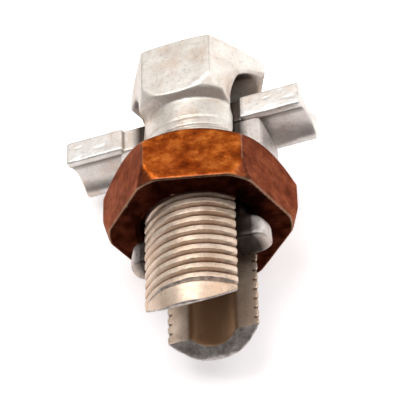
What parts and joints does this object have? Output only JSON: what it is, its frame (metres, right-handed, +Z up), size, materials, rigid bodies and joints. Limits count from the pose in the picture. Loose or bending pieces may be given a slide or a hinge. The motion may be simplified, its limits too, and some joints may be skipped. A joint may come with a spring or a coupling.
{
  "type": "split bolt connector",
  "caption": "Split bolt wire connector: slotted threaded bolt with hexagon head, hexagon nut, eared pressure bar and a spacer bar that keeps two conductors apart.",
  "frame": {"origin": "middle of the nut's lower flat, which lies on the surface", "axes": "+Y along the bolt towards its head, +Z up, +X to the right across the bolt; the slot runs 15.5 degrees off +X, rising to the right"},
  "size_m": [0.0367, 0.0454, 0.0238],
  "materials": {
    "tinned_alloy": "tin-plated cast copper alloy, satin",
    "bare_bronze": "bare silicon bronze, dark, satin",
    "tinned_alloy_dull": "tin-plated copper alloy, dull",
    "tinned_alloy_bright": "tin-plated copper alloy, satin"
  },
  "bodies": {
    "bolt": {"slotted_bolt": "tinned_alloy"},
    "bar": {"pressure_bar": "tinned_alloy_dull"},
    "nut": {"hex_nut": "bare_bronze"},
    "spacer": {"spacer_bar": "tinned_alloy_bright"}
  },
  "joints": [
    {"name": "bar_slide", "type": "slide", "parent": "bolt", "child": "bar", "axis": [0, -1, 0], "range_m": [0, 0.0127]},
    {"name": "nut_spin", "type": "hinge", "parent": "bar", "child": "nut", "pos_m": [0, 0, 0.0119], "axis": [0, -1, 0], "range_deg": [0, 2880]},
    {"name": "spacer_slide", "type": "slide", "parent": "bolt", "child": "spacer", "axis": [0, 1, 0], "range_m": [0, 0.0034]}
  ],
  "couplings": [
    {"joint": "bar_slide", "follows": "nut_spin", "m_per_rad": 0.00025266}
  ]
}
